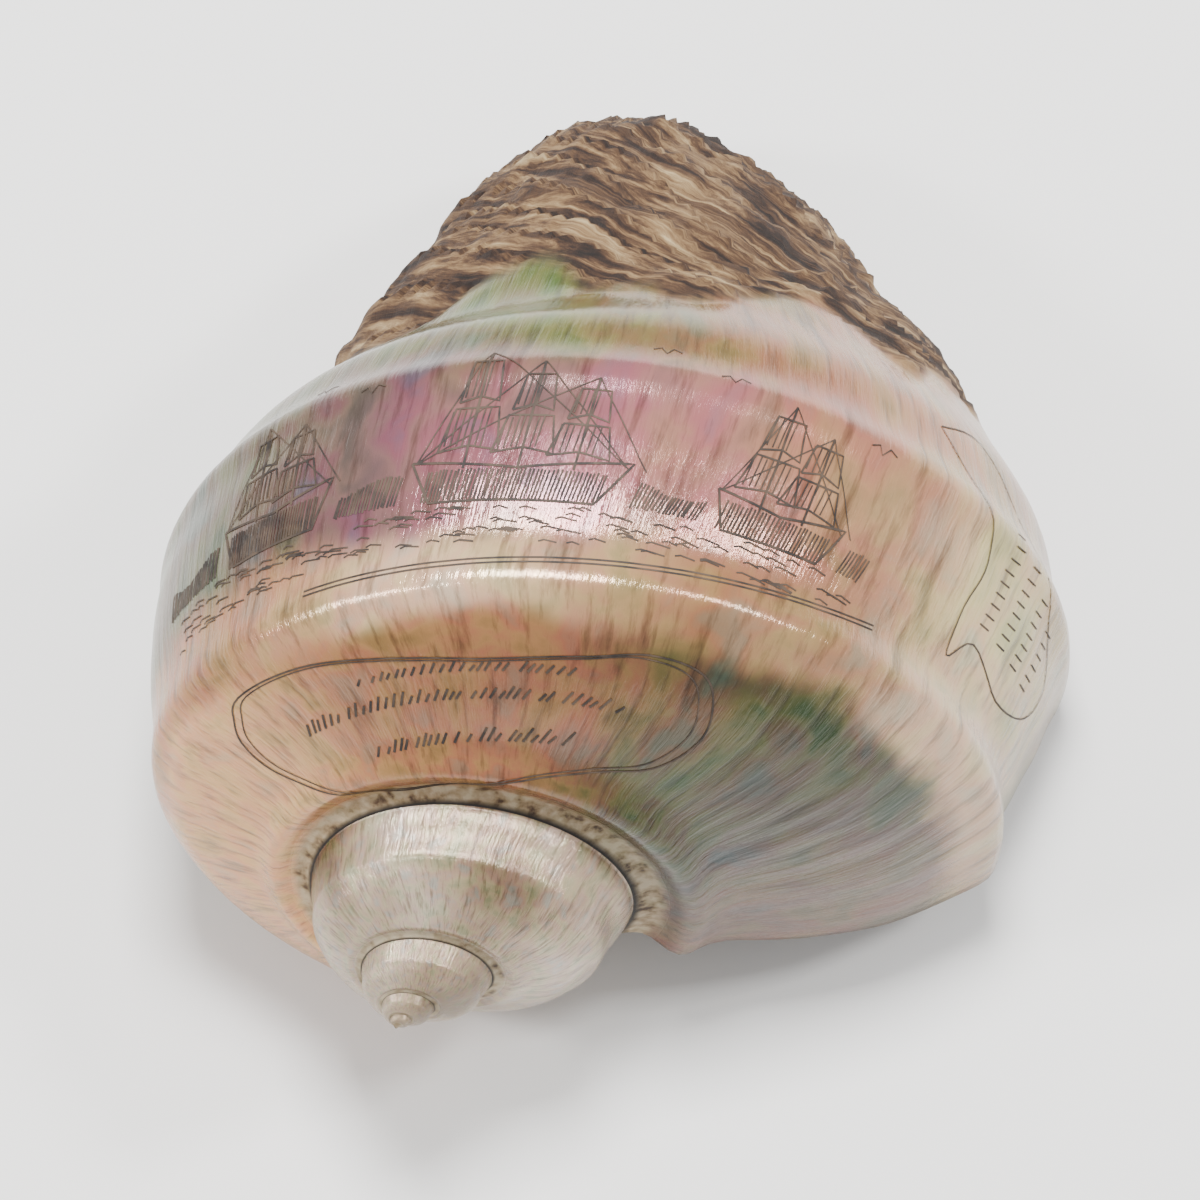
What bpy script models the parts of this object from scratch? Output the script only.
"""Engraved turban shell: one grown shell, polished to the nacre, resting on its mouth.

The shell is a logarithmic spiral. A whorl outline, given in millimetres at the size it
has at the mouth, is swept about the shell's own axis and shrinks by a fixed ratio with
every turn back towards the tip. A smaller outline swept the same way is the hollow.
"""
import math

import bmesh
import bpy
import numpy as np
from mathutils import Euler

for old in list(bpy.data.objects):
    bpy.data.objects.remove(old, do_unlink=True)

# ---- driving sizes: the spiral --------------------------------------------------------
WHORL_RATIO = 2.4945        # growth in size over one whole turn
STEPS = 40                  # columns of the sweep in one turn
TURNS = 4.5                 # turns from the tip to the mouth
LIP_LEAN = 2                # columns by which the lip leads where it meets the suture
LEAN_ENDS = 6               # outline point (the shoulder keel) where that lead dies out
HOLLOW_TURNS = 1.3          # how far in from the mouth the hollow reaches
HOLLOW_SINK = 1             # columns by which the hollow's cutter starts before the mouth

# ---- driving sizes: whorl outlines, (radius, height) in mm as scaled to the mouth ------
# keys are angles back from the mouth in radians; points run from the suture outwards
# over fold, ramp, shoulder keel, channel, flank, second keel, band and end of the nacre.
OUTLINES = {
    -5.0: [(30.7, -34.7), (34.3, -36.4), (39.5, -37.0), (46.0, -40.0), (55.5, -45.5),
           (62.5, -51.5), (68.0, -60.0), (73.0, -73.0), (76.58, -86.56), (77.0, -98.0),
           (73.5, -117.0), (66.0, -134.0)],
    -2.9: [(30.7, -34.7), (34.6, -36.4), (40.7, -35.0), (47.3, -38.0), (60.0, -41.5),
           (70.0, -44.5), (76.5, -51.0), (81.5, -64.0), (86.0, -81.0), (89.0, -100.3),
           (84.0, -119.0), (73.0, -134.9)],
    0.0: [(30.7, -34.7), (34.6, -36.6), (40.7, -35.8), (47.3, -39.9), (61.0, -46.4),
          (73.5, -54.0), (84.3, -65.3), (84.6, -74.0), (86.3, -84.0), (89.3, -100.3),
          (82.9, -119.5), (72.0, -134.5)],
}
ROWS = [1, 1, 1, 2, 1, 2, 1, 1, 1, 2, 1, 1, 1, 1, 1, 1, 1]   # mesh rows between the points
SUTURE_POINT = 8            # outline point of the whorl above that the next suture lies on

# ---- driving sizes: the rough base, (radius, height) in mm, not scaled ---------------------
# the base is one dome about the axis; it is drawn in where it faces the table.
BASES = {
    -5.97: [(19.5, -73.0), (13.5, -92.0), (11.0, -114.0), (9.5, -136.0), (6.5, -158.0),
            (0.0, -176.0)],
    -4.86: [(26.0, -82.0), (20.0, -101.0), (15.0, -120.0), (11.0, -138.0), (6.5, -157.0),
            (0.0, -176.0)],
    -3.3: [(40.5, -100.0), (36.0, -117.0), (31.5, -132.0), (26.0, -147.0), (16.0, -164.0),
           (0.0, -176.0)],
    -1.73: [(51.5, -119.0), (46.5, -133.0), (40.0, -148.0), (31.0, -160.5), (17.0, -171.0),
            (0.0, -176.0)],
    0.0: [(60.0, -142.5), (48.5, -151.0), (37.5, -160.0), (26.5, -167.5), (13.5, -173.5),
          (0.0, -176.0)],
}

# ---- driving sizes: outlines of the hollow, same scheme ----------------------------------
HOLLOWS = {
    -5.0: [(37.0, -44.0), (47.0, -47.5), (55.0, -52.0), (60.0, -58.5), (64.5, -68.0),
           (69.5, -82.0), (70.5, -97.0), (69.5, -108.0), (65.5, -118.0), (58.0, -130.0),
           (48.0, -140.0), (38.0, -146.0), (28.0, -145.0), (20.5, -136.0),
           (15.8, -121.0), (15.0, -105.0), (17.5, -89.0), (22.0, -76.0), (27.5, -64.0),
           (33.0, -53.0)],
    -2.9: [(37.0, -42.5), (48.0, -44.0), (59.0, -47.0), (68.0, -51.5), (73.5, -61.0),
           (78.0, -77.0), (82.5, -97.0), (81.0, -108.0), (75.5, -120.0), (67.0, -136.0),
           (57.0, -152.0), (44.0, -162.0), (30.0, -160.0), (20.5, -142.0),
           (15.8, -121.0), (15.0, -105.0), (17.5, -89.0), (22.0, -76.0), (27.5, -64.0),
           (33.0, -53.0)],
    0.0: [(37.0, -43.0), (49.0, -45.5), (61.0, -51.5), (72.0, -59.5), (79.0, -69.0),
          (81.0, -82.0), (84.0, -98.0), (81.5, -108.5), (75.5, -119.5), (66.0, -131.5),
          (54.0, -142.0), (41.0, -148.0), (29.5, -146.0), (20.5, -136.0),
          (16.5, -121.0), (16.0, -105.0), (18.5, -89.0), (23.0, -76.0), (28.0, -64.0),
          (33.0, -53.0)],
}
HOLLOW_LEAN = [2, 1.6, 1.0, 0.4, 0, 0, 0, 0, 0, 0, 0, 0, 0.2, 0.5, 0.9, 1.3, 1.6, 1.8, 2, 2]

# ---- driving sizes: how the shell lies -----------------------------------------------------
HEADING = -8.79             # turn of the leaning axis about the upright, degrees
LEAN = 74.06                # lean of the shell's axis from upright, degrees
SPIN = -11.80               # turn of the shell about its own axis, degrees
PLACE = (-27.96, -83.62, 50.1)   # where the tip of the spire is, mm
CUT_BOX = 400.0             # side of the block that cuts the worn resting spots, mm

MM = 0.001
STEP = 2.0 * math.pi / STEPS
LAST = int(STEPS * TURNS)
OPEN_FROM = LAST - STEPS + LIP_LEAN     # first column whose base lies open to the air


def staged(table, angle):
    """Outline at an angle, blended between the listed stages of growth."""
    keys = sorted(table)
    angle = min(max(angle, keys[0]), keys[-1])
    for low, high in zip(keys, keys[1:]):
        if angle <= high:
            t = (angle - low) / (high - low)
            t = t * t * (3.0 - 2.0 * t)
            return np.array(table[low]) * (1.0 - t) + np.array(table[high]) * t
    return np.array(table[keys[-1]])


def outline_at(angle):
    """The whole outline at an angle from the mouth, in mm."""
    size = WHORL_RATIO ** (angle / (2.0 * math.pi))
    return np.vstack([staged(OUTLINES, angle) * size, staged(BASES, angle)])


def row_positions():
    """Positions of the mesh rows along an outline, counted in outline points."""
    spots = []
    for point, count in enumerate(ROWS):
        spots += [point + k / count for k in range(count)]
    return spots + [float(len(ROWS))]


def on_curve(points, spot):
    """A point of the smooth curve through the outline points."""
    last = len(points) - 1
    i = min(int(spot), last - 1)
    t = spot - i
    before = points[max(i - 1, 0)]
    after = points[min(i + 2, last)]
    slope_a = (points[i + 1] - before) / 2.0
    slope_b = (after - points[i]) / 2.0
    blend = 3.0 * t ** 2 - 2.0 * t ** 3
    return (points[i] * (1.0 - blend) + points[i + 1] * blend
            + slope_a * (t ** 3 - 2.0 * t ** 2 + t) + slope_b * (t ** 3 - t ** 2))


def placed(radius, height, angle):
    """Place a point of an outline at its angle from the mouth, in metres."""
    return (radius * MM * math.cos(angle), -radius * MM * math.sin(angle), height * MM)


def lip_lead(spot):
    """Angle by which the growth lines lead the column at this row."""
    return max(0.0, 1.0 - spot / LEAN_ENDS) * LIP_LEAN * STEP


def outer_shell():
    """The closed outside of the shell, its mouth capped by a fan."""
    spots = row_positions()
    seam = spots.index(float(SUTURE_POINT))
    end = len(spots) - 1
    verts = [(0.0, 0.0, outline_at(0.0)[-1][1] * MM)]
    index = {}
    for col in range(LAST + 1):
        angle = (col - LAST) * STEP
        for row in range(end if col >= OPEN_FROM else seam + 1):
            above = (col - STEPS + LIP_LEAN, seam)
            if row == 0 and above in index:
                index[col, 0] = index[above]
                continue
            here = angle + lip_lead(spots[row])
            radius, height = on_curve(outline_at(here), spots[row])
            index[col, row] = len(verts)
            verts.append(placed(radius, height, here))
        index[col, end] = 0
    faces = []
    for col in range(LAST):
        for row in range(end - 1 if col >= OPEN_FROM else seam):
            faces.append([index[col, row], index[col + 1, row],
                          index[col + 1, row + 1], index[col, row + 1]])
        if col >= OPEN_FROM:
            faces.append([index[col, end - 1], index[col + 1, end - 1], 0])
    tip_ring = [index[col, 0] for col in range(STEPS - LIP_LEAN + 1)]
    tip_ring += [index[0, row] for row in range(seam - 1, 0, -1)]
    mouth = [index[LAST, row] for row in range(end + 1)]
    mouth += [index[OPEN_FROM, row] for row in range(end - 1, seam, -1)]
    tip = len(verts)
    verts.append((0.0, 0.0, 0.0))
    middle = len(verts)
    radius, height = np.mean(np.array(HOLLOWS[0.0]), axis=0)
    verts.append(placed(radius, height, LIP_LEAN * STEP * 0.4))
    for ring, hub in ((tip_ring, tip), (mouth, middle)):
        for k, here in enumerate(ring):
            faces.append([here, hub, ring[(k + 1) % len(ring)]])
    return verts, faces


def hollow():
    """The closed tube that is taken out of the shell."""
    count = int(HOLLOW_TURNS * STEPS) + HOLLOW_SINK
    width = len(HOLLOW_LEAN)
    verts = []
    for col in range(count + 1):
        angle = (HOLLOW_SINK - col) * STEP
        size = WHORL_RATIO ** (angle / (2.0 * math.pi))
        points = staged(HOLLOWS, angle) * size
        for (radius, height), lead in zip(points, HOLLOW_LEAN):
            verts.append(placed(radius, height, angle + lead * STEP))
    faces = []
    for col in range(count):
        for k in range(width):
            here = col * width + k
            there = col * width + (k + 1) % width
            faces.append([here, there, there + width, here + width])
    for col, turn in ((0, -1), (count, 1)):
        hub = len(verts)
        verts.append(tuple(np.mean(verts[col * width:(col + 1) * width], axis=0)))
        for k in range(width):
            here = col * width + k
            there = col * width + (k + 1) % width
            faces.append([here, hub, there][::-turn])
    return verts, faces


def as_object(name, verts, faces):
    """Make a mesh object that faces outwards."""
    mesh = bpy.data.meshes.new(name)
    mesh.from_pydata([tuple(v) for v in verts], [], faces)
    work = bmesh.new()
    work.from_mesh(mesh)
    bmesh.ops.recalc_face_normals(work, faces=work.faces)
    bmesh.ops.triangulate(work, faces=work.faces)
    work.to_mesh(mesh)
    work.free()
    obj = bpy.data.objects.new(name, mesh)
    bpy.context.scene.collection.objects.link(obj)
    return obj


def take_out(target, cutter):
    """Cut one object out of another and keep the cutter as a hidden wire shape."""
    cut = target.modifiers.new("cut_" + cutter.name, "BOOLEAN")
    cut.operation = "DIFFERENCE"
    cut.solver = "EXACT"
    cut.object = cutter
    cutter.hide_render = True
    cutter.display_type = "WIRE"


def nacre():
    """Polished mother-of-pearl."""
    material = bpy.data.materials.new("nacre")
    material.use_nodes = True
    shader = material.node_tree.nodes["Principled BSDF"]
    shader.inputs["Base Color"].default_value = (0.60, 0.52, 0.40, 1.0)
    shader.inputs["Roughness"].default_value = 0.22
    return material


def lie(obj):
    """Lay the shell on its mouth, tip towards -Y."""
    turn = Euler((0.0, 0.0, math.radians(SPIN))).to_matrix().to_4x4()
    turn = Euler((math.radians(LEAN), 0.0, 0.0)).to_matrix().to_4x4() @ turn
    turn = Euler((0.0, 0.0, math.radians(HEADING))).to_matrix().to_4x4() @ turn
    turn.translation = [value * MM for value in PLACE]
    obj.data.transform(turn)
    obj.data.update()


shell = as_object("turban_shell", *outer_shell())
inside = as_object("hollow_cutter", *hollow())
lie(shell)
lie(inside)

block_verts = [(x * CUT_BOX * MM, y * CUT_BOX * MM, z * MM)
               for x in (-1, 1) for y in (-1, 1) for z in (-CUT_BOX, 0.0)]
block_faces = [(0, 1, 3, 2), (4, 6, 7, 5), (0, 4, 5, 1), (2, 3, 7, 6), (0, 2, 6, 4), (1, 5, 7, 3)]
table_block = as_object("resting_cutter", block_verts, block_faces)

shell.data.materials.append(nacre())
take_out(shell, inside)
take_out(shell, table_block)
